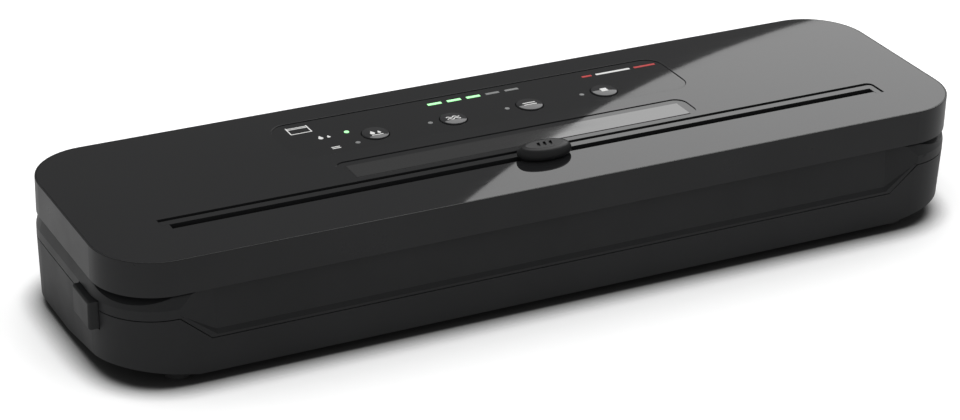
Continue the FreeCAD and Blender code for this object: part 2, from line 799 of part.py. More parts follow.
def hoses():
    """A short elbow hose from the tray to the pump and a straight one to the release valve."""
    hose = new_body("suction_hose")
    path = hose.newObject("Sketcher::SketchObject", "hose_path")
    support = [f for f in hose.Origin.OriginFeatures if f.Role == "XY_Plane"][0]
    path.AttachmentSupport = (support, [""])
    path.MapMode = "FlatFace"
    path.AttachmentOffset = FreeCAD.Placement(FreeCAD.Vector(0, 0, 28.0), FreeCAD.Rotation())
    centre = FreeCAD.Vector(46.0, 16.0, 0)
    path.addGeometry(Part.LineSegment(FreeCAD.Vector(40.0, 8.0, 0), FreeCAD.Vector(40.0, 16.0, 0)), False)
    path.addGeometry(Part.ArcOfCircle(Part.Circle(centre, UP, 6.0), math.pi / 2, math.pi), False)
    path.addGeometry(Part.LineSegment(FreeCAD.Vector(46.0, 22.0, 0), FreeCAD.Vector(56.7, 22.0, 0)), False)
    path.addConstraint(Sketcher.Constraint("Tangent", 0, 2, 1, 2))
    path.addConstraint(Sketcher.Constraint("Tangent", 1, 1, 2, 1))
    fix_point(path, 0, 1, 40.0, 8.0)
    fix_point(path, 1, 3, centre.x, centre.y)
    fix_point(path, 2, 2, 56.7, 22.0)
    section = new_sketch(hose, "XZ", 8.0)
    circle(section, 40.0, 28.0, 2.6)
    circle(section, 40.0, 28.0, 1.5)
    pipe = hose.newObject("PartDesign::AdditivePipe", "hose_pipe")
    pipe.Profile = section
    pipe.Spine = (path, ["Edge1", "Edge2", "Edge3"])
    DOC.recompute()
    tube = cut(cylinder(14.0, 8.0, 28.0, 2.6, 8.0, "y"), cylinder(14.0, 7.0, 28.0, 1.5, 10.0, "y"))
    node("valve_hose", tube)
    frame = round_edges(box(4.0, 24.0, 18.0, 34.0, 6.9, 31.5), 0.8, upright)
    nipple = cylinder(14.0, 13.2, 28.0, 1.4, 5.0, "y")
    coil = cylinder(14.0, 34.0, 18.0, 6.5, 8.0, "y")
    node("release_valve", fuse(frame, nipple, coil))


def transformer():
    winding = box(-124.0, -100.0, 14.5, 47.5, 11.0, 25.0)
    leg = box(-131.0, -93.0, 26.0, 36.0, 13.0, 23.0)
    node("transformer_coil", cut(round_edges(winding, 2.0, upright), leg))
    yoke = box(-131.0, -93.0, 17.5, 44.5, 7.0, 29.0)
    window = box(-124.1, -99.9, 10.0, 50.0, 10.9, 25.1)
    centre = box(-124.2, -99.8, 26.1, 35.9, 13.1, 22.9)
    node("transformer_core", fuse(cut(yoke, window), centre))


def main_board():
    board = round_edges(box(-84.5, -5.5, 13.5, 46.5, 10.0, 11.6), 1.0, upright)
    node("main_board", board)
    cans = [round_edges(cylinder(x, 38.0, 11.6, 5.5, 15.0), 0.6) for x in (-75.0, -62.0)]
    node("board_capacitors", *cans)
    relay = round_edges(box(-52.0, -34.0, 30.0, 44.0, 11.6, 26.6), 0.6)
    node("board_relay", relay)
    back = box(-78.0, -40.0, 18.0, 20.0, 11.6, 28.0)
    fins = [box(-78.0 + 6.0 * i, -76.6 + 6.0 * i, 20.0, 27.0, 11.6, 28.0) for i in range(7)]
    node("heat_sink", fuse(back, *fins))


def power_inlet():
    body = new_body("power_inlet")
    block = rounded(new_sketch(body, "XZ", 38.0), 130.1, 149.9, 9.1, 21.9, [1.2] * 4)
    pad(body, block, 14.1, flip=True)
    flange = rounded(new_sketch(body, "XZ", 44.0), 128.0, 152.0, 8.4, 23.4, [0.6] * 4)
    pad(body, flange, 1.5, flip=False)
    socket = rounded(new_sketch(body, "XZ", 42.6), 131.8, 148.2, 11.6, 19.4, [3.8] * 4)
    pocket(body, socket, 12.0)
    pins = []
    for x in (135.7, 144.3):
        pin = cylinder(x, 42.6, 15.5, 1.2, 7.0, "y")
        pins.append(round_edges(pin, 0.4, lambda e: e.BoundBox.YMin > 49.0))
    node("inlet_pins", *pins)


def feet_and_screws():
    feet = []
    for x in (-d.foot_x, d.foot_x):
        for y in (-d.foot_y, d.foot_y):
            post = cylinder(x, y, 0, d.foot_radius - 0.1, d.foot_top)
            feet.append(round_edges(post, 0.6, lambda e: e.BoundBox.ZMax < 0.01))
    node("feet", *feet)
    screws = []
    for x, y in SCREW_SPOTS:
        head = cylinder(x, y, 5.0, 2.8, 2.2)
        shank = cylinder(x, y, 7.0, 1.2, 22.5)
        slot = box(x - 1.6, x + 1.6, y - 0.35, y + 0.35, 4.9, 6.0)
        cross_slot = box(x - 0.35, x + 0.35, y - 1.6, y + 1.6, 4.9, 6.0)
        screws.append(cut(fuse(head, shank), fuse(slot, cross_slot)))
    node("case_screws", *screws)
    pins = []
    for side in (-1, 1):
        half = d.knuckle_length / 2 + 0.3 + d.lug_length
        start = side * d.hinge_centre.number - half
        pins.append(cylinder(start, d.hinge_back, d.hinge_height, d.hinge_pin, half * 2, "x"))
    node("hinge_pins", *pins)
    switch = round_edges(box(-150.0, -138.0, 22.0, 28.0, 22.5, d.deck_bottom), 0.5, upright)
    lever = box(-149.0, -139.0, 21.6, 22.0, 23.5, 31.0)
    node("lid_switch", fuse(switch, lever))


# ---------------------------------------------------------------- lid

def key_spots():
    return [(d.key_first_x + d.key_pitch * i, d.key_y) for i in range(4)]


def light_holes(sketch, play):
    for x, y in DOT_SPOTS:
        circle(sketch, x, y, d.dot_radius + play)
    for x, y in BAR_SPOTS:
        rectangle(
            sketch,
            x - d.bar_length / 2 - play,
            x + d.bar_length / 2 + play,
            y - d.bar_width / 2 - play,
            y + d.bar_width / 2 + play,
        )
    return sketch


def lid_shell():
    body = new_body("lid_shell")
    pad(body, lid_outline(new_sketch(body, "XY", d.lid_bottom)), d.lid_top - d.lid_bottom)
    top = d.lid_top.number
    soften(body, lambda e: flat_at(e, top), 0.25)
    plate = lid_outline(new_sketch(body, "XY", d.lid_top), d.plate_inset)
    pocket(body, plate, d.lid_top - d.lid_deck_top)
    hollow = lid_outline(new_sketch(body, "XY", d.lid_bottom), d.lid_wall)
    pocket(body, hollow, d.lid_deck_bottom - d.lid_bottom, flip=True)
    # the cutter trough with its blade groove
    block = rectangle(
        new_sketch(body, "XY", 46.0),
        d.trough_left - 2.4,
        d.trough_right + 2.4,
        d.trough_front - 2.4,
        d.trough_back + 2.4,
    )
    pad(body, block, d.lid_deck_bottom - 46.0 + 0.1)
    trough = rounded(
        new_sketch(body, "XY", d.lid_deck_top),
        d.trough_left,
        d.trough_right,
        d.trough_front,
        d.trough_back,
        (0.5, 0.5, 3.0, 0.5),
    )
    pocket(body, trough, d.lid_deck_top - d.trough_floor)
    groove = rectangle(
        new_sketch(body, "XY", d.trough_floor), d.slot_left, d.slot_right, d.groove_front, d.groove_back
    )
    pocket(body, groove, d.trough_floor - d.groove_floor)
    # openings for the keys and the lights
    holes = new_sketch(body, "XY", d.lid_deck_top)
    for x, y in key_spots():
        circle(holes, x, y, d.key_flange + 0.5)
    pocket(body, holes, 2.1)
    pocket(body, light_holes(new_sketch(body, "XY", d.lid_deck_top), 0.05), 2.1)
    # hinge knuckles
    for side in (-1, 1):
        start = side * d.hinge_centre.number - d.knuckle_length / 2
        barrel = circle(new_sketch(body, "YZ", start), d.hinge_back, d.hinge_height, d.hinge_radius)
        pad(body, barrel, d.knuckle_length)
        web = rectangle(
            new_sketch(body, "YZ", start),
            51.5,
            d.hinge_back,
            39.4,
            d.hinge_height + d.hinge_radius,
        )
        pad(body, web, d.knuckle_length)
    bore = circle(new_sketch(body, "YZ", -140.0), d.hinge_back, d.hinge_height, d.hinge_bore)
    pocket(body, bore, 280.0, flip=True)
    # posts for the inner cover's screws and for the lid board
    posts = new_sketch(body, "XY", d.cover_top)
    pilots = new_sketch(body, "XY", d.cover_top)
    for x, y in COVER_SPOTS:
        circle(posts, x, y, 3.0)
        circle(pilots, x, y, 1.15)
    pad(body, posts, d.lid_deck_bottom - d.cover_top + 0.1)
    pocket(body, pilots, 4.5, flip=True)
    stand = new_sketch(body, "XY", 45.8)
    for x in (-82.0, 82.0):
        for y in (6.0, 42.0):
            circle(stand, x, y, 2.0)
    pad(body, stand, d.lid_deck_bottom - 45.8 + 0.1)
    return body


def lid_top_plate():
    body = new_body("lid_top_plate")
    inset = d.plate_inset + 0.1
    pad(body, lid_outline(new_sketch(body, "XY", d.lid_deck_top), inset), d.lid_top - d.lid_deck_top)
    left = d.bar_left - d.slot_play
    step = d.slot_back - d.slot_play
    front = d.bar_front - d.slot_play
    opening = polygon(
        new_sketch(body, "XY", d.lid_top),
        [
            (left, step),
            (d.slot_left, step),
            (d.slot_left, d.slot_front),
            (d.slot_right, d.slot_front),
            (d.slot_right, front),
            (d.trough_right, front),
            (d.trough_right, d.trough_back),
            (left, d.trough_back),
        ],
    )
    pocket(body, opening, 3.0)
    soften(body, lambda e: upright(e) and stands_at(e, d.trough_right, d.trough_back), 3.0)
    panel = rounded(
        new_sketch(body, "XY", d.lid_top),
        d.panel_left,
        d.panel_right,
        d.panel_front,
        d.panel_back,
        [d.panel_radius] * 4,
    )
    pocket(body, panel, d.lid_top - d.panel_floor)
    top = d.lid_top.number
    border = (d.panel_left, d.panel_right, d.panel_front, d.panel_back)
    soften(body, lambda e: flat_at(e, top) and within(e, *border), 0.2)
    window = rounded(
        new_sketch(body, "XY", d.lid_top),
        d.window_left,
        d.window_right,
        d.window_front,
        d.window_back,
        [d.window_radius] * 4,
    )
    pocket(body, window, d.lid_top - d.window_floor)
    pane = rectangle(new_sketch(body, "XY", d.lid_top), d.pane_left, d.pane_right, d.pane_front, d.pane_back)
    pocket(body, pane, 3.0)
    holes = new_sketch(body, "XY", d.lid_top)
    for x, y in key_spots():
        circle(holes, x, y, d.key_radius + 0.3)
    pocket(body, holes, 3.0)
    pocket(body, light_holes(new_sketch(body, "XY", d.lid_top), 0.05), 3.0)


def panel_pieces():
    overlay = new_body("control_overlay")
    sheet = rounded(
        new_sketch(overlay, "XY", d.panel_floor),
        d.panel_left + 0.12,
        d.panel_right - 0.12,
        d.panel_front + 0.12,
        d.panel_back - 0.12,
        [d.panel_radius - 0.12] * 4,
    )
    pad(overlay, sheet, d.panel_top - d.panel_floor)
    holes = new_sketch(overlay, "XY", d.panel_top)
    for x, y in key_spots():
        circle(holes, x, y, d.key_radius + 0.3)
    pocket(overlay, holes, 1.0)
    pocket(overlay, light_holes(new_sketch(overlay, "XY", d.panel_top), 0.05), 1.0)
    left = d.pane_left + 0.05
    right = d.pane_right - 0.05
    front = d.pane_front + 0.05
    back = d.pane_back - 0.05
    pane = new_body("window_pane")
    pad(pane, rectangle(new_sketch(pane, "XY", 51.45), left, right, front, back), d.pane_top - 51.45)
    soften(pane, lambda e: flat_at(e, d.pane_top.number), 0.2, "Chamfer")
    node("window_backing", box(left, right, front, back, d.lid_deck_top, 51.4))
    lit, unlit = [], []
    for i, (x, y) in enumerate(DOT_SPOTS):
        pipe = cylinder(x, y, 45.8, d.dot_radius, d.light_top - 45.8)
        (lit if i < LIT_DOTS else unlit).append(pipe)
    for i, (x, y) in enumerate(BAR_SPOTS):
        reach_x = d.bar_length / 2
        reach_y = d.bar_width / 2
        pipe = box(x - reach_x, x + reach_x, y - reach_y, y + reach_y, 45.8, d.light_top)
        (lit if i < LIT_BARS else unlit).append(pipe)
    node("lights_on", *lit)
    node("lights_off", *unlit)


def domed(shape, x, y, top, radius):
    """Trim a shape by a large ball, which gives it a gently domed top."""
    ball = DOC.addObject("Part::Sphere", "ball")
    ball.setExpression("Radius", size(radius).text)
    for axis, value in zip("xyz", (x, y, top - radius)):
        ball.setExpression("Placement.Base." + axis, size(value).text)
    trimmed = DOC.addObject("Part::Common", "domed")
    trimmed.Base = shape
    trimmed.Tool = ball
    return trimmed


def keys():
    for label, (x, y) in zip(KEY_NAMES, key_spots()):
        cap = cylinder(x, y, 50.2, d.key_radius, d.key_top - 50.2)
        cap = domed(cap, x, y, d.key_top, 65.0)
        cap = round_edges(cap, 0.4, lambda e: e.BoundBox.ZMin > 53.0 and e.BoundBox.ZLength < 1e-3)
        flange = cylinder(x, y, 49.5, d.key_flange, 0.8)
        stem = cylinder(x, y, 48.4, 2.0, 1.3)
        node(label, fuse(cap, flange, stem))


def lid_inside():
    cover = new_body("lid_inner_cover")
    plan = lid_outline(new_sketch(cover, "XY", d.cover_bottom), d.lid_wall + 0.1)
    pad(cover, plan, d.cover_top - d.cover_bottom)
    heads = new_sketch(cover, "XY", d.cover_bottom)
    holes = new_sketch(cover, "XY", d.cover_bottom)
    for x, y in COVER_SPOTS:
        circle(heads, x, y, 2.6)
        circle(holes, x, y, 1.3)
    pocket(cover, heads, 1.2, flip=True)
    pocket(cover, holes, 2.0, flip=True)
    screws = []
    for x, y in COVER_SPOTS:
        head = cylinder(x, y, 41.1, 2.4, 1.1)
        shank = cylinder(x, y, 42.1, 1.1, 5.0)
        slot = box(x - 1.5, x + 1.5, y - 0.3, y + 0.3, 41.0, 41.7)
        screws.append(cut(fuse(head, shank), slot))
    node("cover_screws", *screws)
    strip = new_body("seal_strip")
    profile = polygon(
        new_sketch(strip, "YZ", -152.0),
        [
            (d.heater_front + 0.5, d.cover_bottom),
            (d.heater_front + 0.5, d.cover_bottom - 1.2),
            (d.heater_front + 2.0, d.strip_bottom),
            (d.heater_back - 2.0, d.strip_bottom),
            (d.heater_back - 0.5, d.cover_bottom - 1.2),
            (d.heater_back - 0.5, d.cover_bottom),
        ],
    )
    pad(strip, profile, 304.0)
    board = round_edges(box(-86.0, 86.0, 2.5, 46.0, 44.3, 45.8), 1.5, upright)
    node("lid_board", board)
    switches = []
    for x, y in key_spots():
        can = box(x - 3.0, x + 3.0, y - 3.0, y + 3.0, 45.8, 47.1)
        switches.append(fuse(can, cylinder(x, y, 47.0, 1.6, 0.5)))
    node("key_switches", *switches)


def latch_hooks():
    """Two hooks under the lid; both noses point the way the latch bar is pushed."""
    hooks = []
    for stem_x in (-174.0, 167.0):
        stem = box(stem_x, stem_x + 3.0, -30.0, -22.0, 33.2, d.cover_bottom)
        nose = box(stem_x + 2.8, stem_x + 4.6, -30.0, -22.0, 33.2, 34.6)
        hooks.append(fuse(stem, nose))
    node("latch_hooks", *hooks)


# ---------------------------------------------------------------- cutter

def cutter():
    bar = new_body("cutter_bar")
    elbow = d.slot_right + 0.15
    plan = polygon(
        new_sketch(bar, "XY", d.bar_bottom),
        [
            (d.bar_left, d.slot_back),
            (elbow, d.slot_back),
            (elbow, d.bar_front),
            (d.bar_right, d.bar_front),
            (d.bar_right, d.bar_back),
            (d.bar_left, d.bar_back),
        ],
    )
    pad(bar, plan, d.lid_top - d.bar_bottom)
    soften(bar, lambda e: upright(e) and stands_at(e, d.bar_right, d.bar_back), 1.8)
    cutter_knob()
    node("cutter_blade", blade())


def cutter_knob():
    """A pebble with an undercut foot and three slanting grip grooves, on a neck that runs in the slot."""
    knob = new_body("cutter_knob")
    levels = ((0.0, 1.3), (0.5, 0.4), (1.3, 0.0), (3.1, 0.5), (4.1, 1.6), (4.65, 3.4))
    loops = [ellipse(new_sketch(knob, "XY", d.knob_bottom + rise), inset) for rise, inset in levels]
    loft = knob.newObject("PartDesign::AdditiveLoft", "knob_body")
    loft.Profile = loops[0]
    loft.Sections = loops[1:]
    DOC.recompute()
    grips = new_sketch(knob, "XY", d.knob_top)
    for step in (-1, 0, 1):
        x = d.knob_x + 2.6 * step
        corners = ((-1.1, -1.6), (0.1, -1.6), (1.1, 1.6), (-0.1, 1.6))
        polygon(grips, [(x + across, d.knob_y + along) for across, along in corners])
    pocket(knob, grips, 0.7)
    left = d.knob_x - 4.0
    right = d.knob_x + 4.0
    neck = rectangle(new_sketch(knob, "XY", 49.0), left, right, -27.7, -24.65)
    pad(knob, neck, d.knob_bottom - 49.0 + 0.4)
    foot = rectangle(new_sketch(knob, "XY", 49.0), left, right, -27.85, -23.5)
    pad(knob, foot, 0.8)


def ellipse(sketch, inset):
    """One cross-section of the knob, drawn as an ellipse about the knob's axis."""
    half_x = d.knob_half_x.number - inset
    half_y = d.knob_half_y.number - inset
    centre = FreeCAD.Vector(d.knob_x.number, d.knob_y.number, 0)
    tip = centre + FreeCAD.Vector(half_x, 0, 0)
    side = centre + FreeCAD.Vector(0, half_y, 0)
    sketch.addGeometry(Part.Ellipse(tip, side, centre), False)
    return sketch


def blade():
    """A thin steel plate with a slanted edge, hanging from the knob's foot."""
    plate = box(d.knob_x - 3.0, d.knob_x + 3.0, -26.5, -26.1, 47.3, 49.0)
    corner = DOC.addObject("Part::Wedge", "blade_bevel")
    corner.Xmin, corner.Xmax = 0.0, 2.2
    corner.Ymin, corner.Ymax = 0.0, 1.2
    corner.Zmin, corner.Zmax = 0.0, 1.0
    corner.X2min, corner.X2max = 0.0, 2.2
    corner.Z2min, corner.Z2max = 0.0, 1.0
    corner.Placement = FreeCAD.Placement(
        FreeCAD.Vector(d.knob_x.number + 3.0, -26.8, 46.6), FreeCAD.Rotation(FreeCAD.Vector(0, 1, 0), -40)
    )
    return cut(plate, corner)


# ---------------------------------------------------------------- release button

def release():
    """The button in the left end wall and the bar that links it to both catches."""
    outer = d.release_out
    block = box(outer, d.release_in + 0.3, d.release_front, d.release_back, d.release_bottom, 32.1)
    cap = box(outer, outer + 5.1, d.release_front, d.release_back, 30.0, d.release_top)
    soft = round_edges(fuse(block, cap), 1.0, lambda e: e.BoundBox.XMax < outer.number + 1e-3)
    flange = box(d.release_in, d.release_in + 1.8, -34.9, -15.5, 20.6, 32.1)
    node("release_button", fuse(soft, flange))
    bar = box(d.release_in + 1.8, 176.0, d.latch_front, d.latch_back, d.latch_bottom, d.latch_top)
    catches = [box(x, x + 2.5, d.latch_front, d.latch_back, d.latch_top - 0.5, 35.4) for x in (-169.0, 172.2)]
    node("latch_bar", fuse(bar, *catches))


# ---------------------------------------------------------------- build and export

def export():
    DOC.recompute()
    for item in DOC.Objects:
        if "Invalid" in item.State or "Error" in item.State:
            raise RuntimeError("%s is in state %s" % (item.Label, item.State))
    os.makedirs("parts", exist_ok=True)
    for label, item in PARTS.items():
        shape = item.Shape
        if shape.isNull() or not shape.isValid():
            raise RuntimeError("%s has no valid shape" % label)
        shape.exportStep(os.path.join("parts", label + ".step"))


lower_case()
upper_frame()
gaskets()
drip_tray()
heater()
vacuum_pump()
hoses()
transformer()
main_board()
power_inlet()
feet_and_screws()
lid_shell()
lid_top_plate()
panel_pieces()
keys()
lid_inside()
latch_hooks()
cutter()
release()
export()
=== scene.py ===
"""Looks of the vacuum sealer: materials, printed marks, studio and camera. Lengths are in metres."""

import json
import math

import bmesh
import bpy
from mathutils import Matrix, Vector


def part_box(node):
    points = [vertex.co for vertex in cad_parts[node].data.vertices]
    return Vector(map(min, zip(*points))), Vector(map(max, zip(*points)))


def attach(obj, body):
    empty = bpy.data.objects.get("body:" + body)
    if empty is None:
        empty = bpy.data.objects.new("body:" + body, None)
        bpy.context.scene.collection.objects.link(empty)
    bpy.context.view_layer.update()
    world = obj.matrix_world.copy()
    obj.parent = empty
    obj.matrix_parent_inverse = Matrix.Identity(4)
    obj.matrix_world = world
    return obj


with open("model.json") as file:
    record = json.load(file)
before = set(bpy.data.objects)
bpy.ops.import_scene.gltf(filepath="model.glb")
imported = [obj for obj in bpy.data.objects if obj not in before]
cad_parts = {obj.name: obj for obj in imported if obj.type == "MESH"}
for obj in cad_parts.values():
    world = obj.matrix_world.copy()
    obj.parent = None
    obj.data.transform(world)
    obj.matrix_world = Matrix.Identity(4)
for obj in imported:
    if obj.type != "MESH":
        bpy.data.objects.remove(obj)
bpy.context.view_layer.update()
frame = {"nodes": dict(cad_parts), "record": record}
NODES = frame["nodes"]
MM = 0.001
WHITE = (1.0, 1.0, 1.0, 1.0)

INK_GAP = 0.005 * MM  # between a face and the ink on it
INK_DEPTH = 0.03 * MM
DOMED_INK_DEPTH = 0.06 * MM
KEY_DOME = 65 * MM  # radius of the ball that shapes the keys' tops
LID_MIDDLE = Vector((1.4 * MM, -4.5 * MM, 53 * MM))  # middle of the lid's top face

FLOOR_SIZE = 6.0
FLOOR_DROP = 0.05 * MM  # keeps the floor just clear of the feet
PAPER_DARK = (0.66, 0.66, 0.66)
PAPER_LIGHT = (0.68, 0.68, 0.68)
# colour of the painted contact shadow on the floor, and how far from the machine it reaches
CONTACT_SHADE = (0.018, 0.018, 0.018, 1.0)
CONTACT_REACH = 15 * MM

DOME_STRENGTH = 1.0  # the light that falls on the machine
WALLS_LOW = 0.05  # what reflects from near the horizon
WALLS_HIGH = 0.25  # what reflects from higher up
SOFTBOX_AIM = (0.470, 0.776, 0.4206)
SOFTBOX_RADIUS = 0.935
SOFTBOX_RADIANCE = 2.0
SOFTBOX_OFFSETS = (1.8, 0.5089, 0.7514)  # along the aim, across it and above it

CAMERA_PLACE = (-0.480953, -0.909496, 0.522020)
CAMERA_SHIFT = 0.2 * MM
CAMERA_ANGLES = (-27.4829, 26.2168, 1.5340)  # azimuth, elevation and roll in degrees
CAMERA_LENS = 107.04


# ---------------------------------------------------------------- node helpers

def new_material(name):
    """An empty material with an output and one Principled shader."""
    material = bpy.data.materials.new(name)
    material.use_nodes = True
    tree = material.node_tree
    tree.nodes.clear()
    output = tree.nodes.new("ShaderNodeOutputMaterial")
    shader = tree.nodes.new("ShaderNodeBsdfPrincipled")
    tree.links.new(shader.outputs["BSDF"], output.inputs["Surface"])
    return material, tree, shader


def place(tree):
    """Object coordinates, which move with the piece."""
    return tree.nodes.new("ShaderNodeTexCoord").outputs["Object"]


def noise(tree, scale, detail=3.0, stretch=None):
    """A noise value over the piece; stretch squeezes it along the axes, as drawn or brushed stock shows."""
    node = tree.nodes.new("ShaderNodeTexNoise")
    node.inputs["Scale"].default_value = scale
    node.inputs["Detail"].default_value = detail
    source = place(tree)
    if stretch:
        mapping = tree.nodes.new("ShaderNodeMapping")
        mapping.inputs["Scale"].default_value = stretch
        tree.links.new(source, mapping.inputs["Vector"])
        source = mapping.outputs["Vector"]
    tree.links.new(source, node.inputs["Vector"])
    return node.outputs["Fac"]


def spread(tree, value, low, high, start=0.3, end=0.7):
    """Stretch a value between two numbers."""
    node = tree.nodes.new("ShaderNodeMapRange")
    node.inputs["From Min"].default_value = start
    node.inputs["From Max"].default_value = end
    node.inputs["To Min"].default_value = low
    node.inputs["To Max"].default_value = high
    tree.links.new(value, node.inputs["Value"])
    return node.outputs["Result"]


def tint(tree, value, dark, light):
    """Blend two colours by a value."""
    node = tree.nodes.new("ShaderNodeMix")
    node.data_type = "RGBA"
    node.inputs["A"].default_value = (*dark, 1.0)
    node.inputs["B"].default_value = (*light, 1.0)
    tree.links.new(value, node.inputs["Factor"])
    return node.outputs["Result"]


def bump(tree, shader, height, depth, strength):
    """Give the shader fine relief from a height value."""
    node = tree.nodes.new("ShaderNodeBump")
    node.inputs["Strength"].default_value = strength
    node.inputs["Distance"].default_value = depth
    tree.links.new(height, node.inputs["Height"])
    tree.links.new(node.outputs["Normal"], shader.inputs["Normal"])


def by_ray(tree, kind, usual, special):
    """A shader that is special for one kind of ray and usual for all others."""
    rays = tree.nodes.new("ShaderNodeLightPath")
    mix = tree.nodes.new("ShaderNodeMixShader")
    tree.links.new(rays.outputs[kind], mix.inputs["Fac"])
    tree.links.new(usual.outputs[0], mix.inputs[1])
    tree.links.new(special.outputs[0], mix.inputs[2])
    return mix.outputs[0]


def shade(colour, factor):
    """A colour made darker or lighter."""
    return tuple(c * factor for c in colour)


# ---------------------------------------------------------------- materials

def moulded(name, colour, roughness, gloss, grain=2200.0, depth=0.02, vary=0.12):
    """Moulded plastic with a fine eroded grain, faint flow clouds and uneven gloss."""
    material, tree, shader = new_material(name)
    clouds = spread(tree, noise(tree, 22.0, 4.0), 0.0, 1.0)
    base = tint(tree, clouds, shade(colour, 1 - vary), shade(colour, 1 + vary))
    tree.links.new(base, shader.inputs["Base Color"])
    patch = noise(tree, 60.0, 5.0)
    tree.links.new(spread(tree, patch, roughness * 0.9, roughness * 1.1), shader.inputs["Roughness"])
    shader.inputs["Specular IOR Level"].default_value = gloss
    bump(tree, shader, noise(tree, grain, 2.0), depth * MM, 0.5)
    return material


def glossy(name, colour, roughness, gloss, wave=0.004, vary=0.06):
    """Polished plastic: almost a mirror, with a faint waviness and hairline wipe marks in its gloss."""
    material, tree, shader = new_material(name)
    clouds = spread(tree, noise(tree, 9.0, 2.0), 0.0, 1.0)
    base = tint(tree, clouds, shade(colour, 1 - vary), shade(colour, 1 + vary))
    tree.links.new(base, shader.inputs["Base Color"])
    wipes = noise(tree, 260.0, 3.0, (0.12, 1.0, 1.0))
    tree.links.new(spread(tree, wipes, roughness * 0.8, roughness * 1.3), shader.inputs["Roughness"])
    shader.inputs["Specular IOR Level"].default_value = gloss
    bump(tree, shader, noise(tree, 35.0, 1.0), wave * MM, 0.6)
    return material


def metal(name, colour, roughness, stretch=(1.0, 14.0, 14.0), depth=0.004):
    """Drawn, brushed or ground metal, with streaks along its length."""
    material, tree, shader = new_material(name)
    streaks = noise(tree, 420.0, 4.0, stretch)
    tree.links.new(tint(tree, streaks, shade(colour, 0.86), shade(colour, 1.06)), shader.inputs["Base Color"])
    tree.links.new(spread(tree, streaks, roughness * 0.75, roughness * 1.35), shader.inputs["Roughness"])
    shader.inputs["Metallic"].default_value = 1.0
    bump(tree, shader, streaks, depth * MM, 0.5)
    return material


def foam(name, colour):
    """Closed-cell foam or rubber with visible pores."""
    material, tree, shader = new_material(name)
    cells = tree.nodes.new("ShaderNodeTexVoronoi")
    cells.inputs["Scale"].default_value = 1500.0
    tree.links.new(place(tree), cells.inputs["Vector"])
    pores = spread(tree, cells.outputs["Distance"], 0.0, 1.0, 0.05, 0.45)
    tree.links.new(tint(tree, pores, shade(colour, 0.55), shade(colour, 1.15)), shader.inputs["Base Color"])
    tree.links.new(spread(tree, noise(tree, 80.0), 0.78, 0.92), shader.inputs["Roughness"])
    shader.inputs["Specular IOR Level"].default_value = 0.25
    bump(tree, shader, pores, 0.08 * MM, 0.8)
    return material


def woven(name, colour, pitch=0.5):
    """Coated glass cloth or winding tape: a fine plain weave under a thin coat."""
    material, tree, shader = new_material(name)
    weave = tree.nodes.new("ShaderNodeMath")
    weave.operation = "MULTIPLY"
    for direction, threads in zip("XY", weave.inputs):
        wave = tree.nodes.new("ShaderNodeTexWave")
        wave.bands_direction = direction
        wave.inputs["Scale"].default_value = 0.31416 / (pitch * MM)
        wave.inputs["Distortion"].default_value = 0.4
        tree.links.new(place(tree), wave.inputs["Vector"])
        tree.links.new(wave.outputs["Fac"], threads)
    cloth = tint(tree, weave.outputs[0], shade(colour, 0.75), shade(colour, 1.1))
    tree.links.new(cloth, shader.inputs["Base Color"])
    tree.links.new(spread(tree, noise(tree, 90.0), 0.35, 0.5), shader.inputs["Roughness"])
    bump(tree, shader, weave.outputs[0], 0.05 * MM, 0.6)
    return material


def laminated(name, colour, pitch=0.5):
    """A stack of thin varnished iron sheets seen edge-on."""
    material, tree, shader = new_material(name)
    wave = tree.nodes.new("ShaderNodeTexWave")
    wave.bands_direction = "Z"
    wave.inputs["Scale"].default_value = 0.31416 / (pitch * MM)
    tree.links.new(place(tree), wave.inputs["Vector"])
    lines = wave.outputs["Fac"]
    tree.links.new(tint(tree, lines, shade(colour, 0.5), shade(colour, 1.2)), shader.inputs["Base Color"])
    tree.links.new(spread(tree, noise(tree, 120.0), 0.4, 0.6), shader.inputs["Roughness"])
    shader.inputs["Metallic"].default_value = 0.7
    bump(tree, shader, lines, 0.06 * MM, 0.8)
    return material


def circuit_board(name, mask, track):
    """Solder mask over copper tracks that show as slightly lighter, raised bands."""
    material, tree, shader = new_material(name)
    bricks = tree.nodes.new("ShaderNodeTexBrick")
    bricks.inputs["Scale"].default_value = 150.0
    bricks.inputs["Mortar Size"].default_value = 0.025
    bricks.inputs["Mortar Smooth"].default_value = 0.2
    bricks.offset = 0.37
    tree.links.new(place(tree), bricks.inputs["Vector"])
    tracks = bricks.outputs["Fac"]
    tree.links.new(tint(tree, tracks, mask, track), shader.inputs["Base Color"])
    tree.links.new(spread(tree, noise(tree, 70.0), 0.22, 0.34), shader.inputs["Roughness"])
    bump(tree, shader, tracks, 0.03 * MM, 0.7)
    return material


def smoked(name, colour, roughness):
    """Smoked acrylic, made opaque: a dark tint under a polished, strongly reflecting face."""
    material, tree, shader = new_material(name)
    clouds = spread(tree, noise(tree, 14.0, 2.0), 0.0, 1.0)
    tree.links.new(tint(tree, clouds, shade(colour, 0.95), shade(colour, 1.05)), shader.inputs["Base Color"])
    wipes = noise(tree, 260.0, 3.0, (0.12, 1.0, 1.0))
    tree.links.new(spread(tree, wipes, roughness * 0.8, roughness * 1.3), shader.inputs["Roughness"])
    shader.inputs["Specular IOR Level"].default_value = 1.0
    bump(tree, shader, noise(tree, 35.0, 1.0), 0.001 * MM, 0.5)
    return material


def glowing(name, colour, strength):
    """A diffuser lit from behind, with a fine grain in its glow."""
    material, tree, shader = new_material(name)
    grain = spread(tree, noise(tree, 900.0, 2.0), 0.85, 1.15)
    glow = tint(tree, grain, shade(colour, 0.8), colour)
    tree.links.new(glow, shader.inputs["Base Color"])
    tree.links.new(glow, shader.inputs["Emission Color"])
    shader.inputs["Emission Strength"].default_value = strength
    shader.inputs["Roughness"].default_value = 0.3
    bump(tree, shader, grain, 0.01 * MM, 0.4)
    return material


